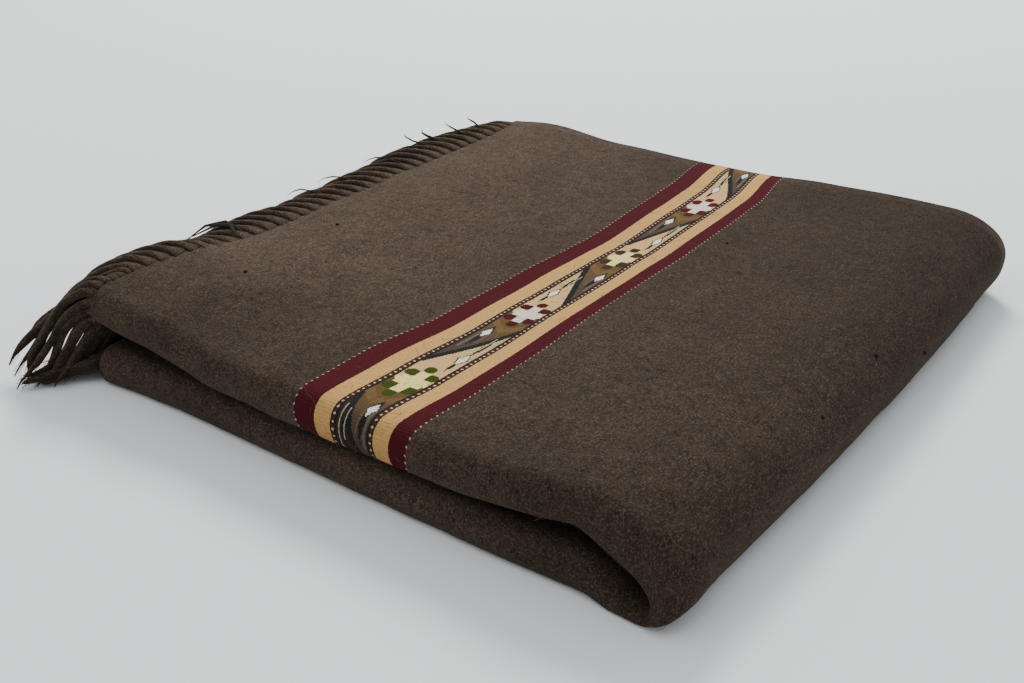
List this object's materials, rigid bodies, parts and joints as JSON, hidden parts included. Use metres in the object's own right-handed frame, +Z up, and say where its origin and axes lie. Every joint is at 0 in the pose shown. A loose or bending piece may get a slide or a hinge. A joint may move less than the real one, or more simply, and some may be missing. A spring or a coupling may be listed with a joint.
{
  "type": "folded fringed shawl",
  "caption": "Wool shawl folded into a soft rectangular pile, with twisted fringes at one end and a woven patterned band across the top.",
  "frame": {"origin": "middle of the underside of the folded shawl, fringes included", "axes": "+X along the folded length, from the fringed end to the big round fold; +Y from the folded front edge to the open selvedges at the back; +Z up"},
  "size_m": [0.3878, 0.3948, 0.052],
  "materials": {
    "cloth": "matt heathered brown wool with a soft nap",
    "fringe": "matt twisted wool cords in the brown of the cloth"
  },
  "bodies": {
    "root": {"shawl_cloth": "cloth", "fringe_top_end": "fringe", "fringe_low_end": "fringe"}
  },
  "joints": []
}
